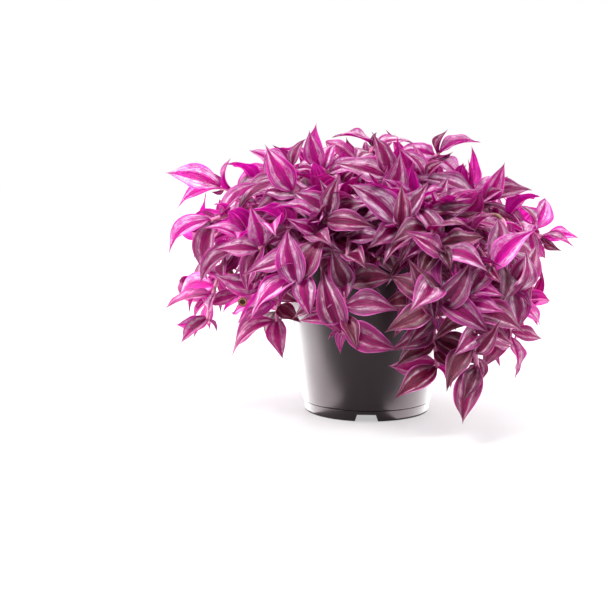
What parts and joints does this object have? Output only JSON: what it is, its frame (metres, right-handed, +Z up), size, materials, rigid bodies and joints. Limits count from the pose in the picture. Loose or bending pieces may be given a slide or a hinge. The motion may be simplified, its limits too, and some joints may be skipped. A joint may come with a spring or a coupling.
{
  "type": "potted tradescantia",
  "caption": "House plant in a round tapered nursery pot: fleshy stems with pointed striped magenta leaves arch over the rim and hang around the pot.",
  "frame": {"origin": "centre of the pot's foot, on the surface that the pot stands on", "axes": "+Z up along the pot's axis, -Y towards the viewer of the picture, +X to the viewer's right"},
  "size_m": [0.3443, 0.3257, 0.2499],
  "materials": {
    "pot_plastic": "satin black moulded plastic",
    "potting_soil": null,
    "leafy_shoot": null
  },
  "bodies": {
    "root": {"pot": "pot_plastic", "soil": "potting_soil", "shoot_01": "leafy_shoot", "shoot_02": "leafy_shoot", "shoot_03": "leafy_shoot", "shoot_04": "leafy_shoot", "shoot_05": "leafy_shoot", "shoot_06": "leafy_shoot", "shoot_07": "leafy_shoot", "shoot_08": "leafy_shoot", "shoot_09": "leafy_shoot", "shoot_10": "leafy_shoot", "shoot_11": "leafy_shoot", "shoot_12": "leafy_shoot", "shoot_13": "leafy_shoot", "shoot_14": "leafy_shoot", "shoot_15": "leafy_shoot", "shoot_16": "leafy_shoot", "shoot_17": "leafy_shoot", "shoot_18": "leafy_shoot", "shoot_19": "leafy_shoot", "shoot_20": "leafy_shoot", "shoot_21": "leafy_shoot", "shoot_22": "leafy_shoot", "shoot_23": "leafy_shoot", "shoot_24": "leafy_shoot", "shoot_25": "leafy_shoot", "shoot_26": "leafy_shoot", "shoot_27": "leafy_shoot", "shoot_28": "leafy_shoot", "shoot_29": "leafy_shoot", "shoot_30": "leafy_shoot", "shoot_31": "leafy_shoot", "shoot_32": "leafy_shoot", "shoot_33": "leafy_shoot", "shoot_34": "leafy_shoot", "shoot_35": "leafy_shoot", "shoot_36": "leafy_shoot", "shoot_37": "leafy_shoot", "shoot_38": "leafy_shoot", "shoot_39": "leafy_shoot", "shoot_40": "leafy_shoot", "shoot_41": "leafy_shoot", "shoot_42": "leafy_shoot", "shoot_43": "leafy_shoot", "shoot_44": "leafy_shoot", "shoot_45": "leafy_shoot", "shoot_46": "leafy_shoot", "shoot_47": "leafy_shoot", "shoot_48": "leafy_shoot", "shoot_49": "leafy_shoot", "shoot_50": "leafy_shoot", "shoot_51": "leafy_shoot", "shoot_52": "leafy_shoot", "shoot_53": "leafy_shoot", "shoot_54": "leafy_shoot", "shoot_55": "leafy_shoot"}
  },
  "joints": []
}
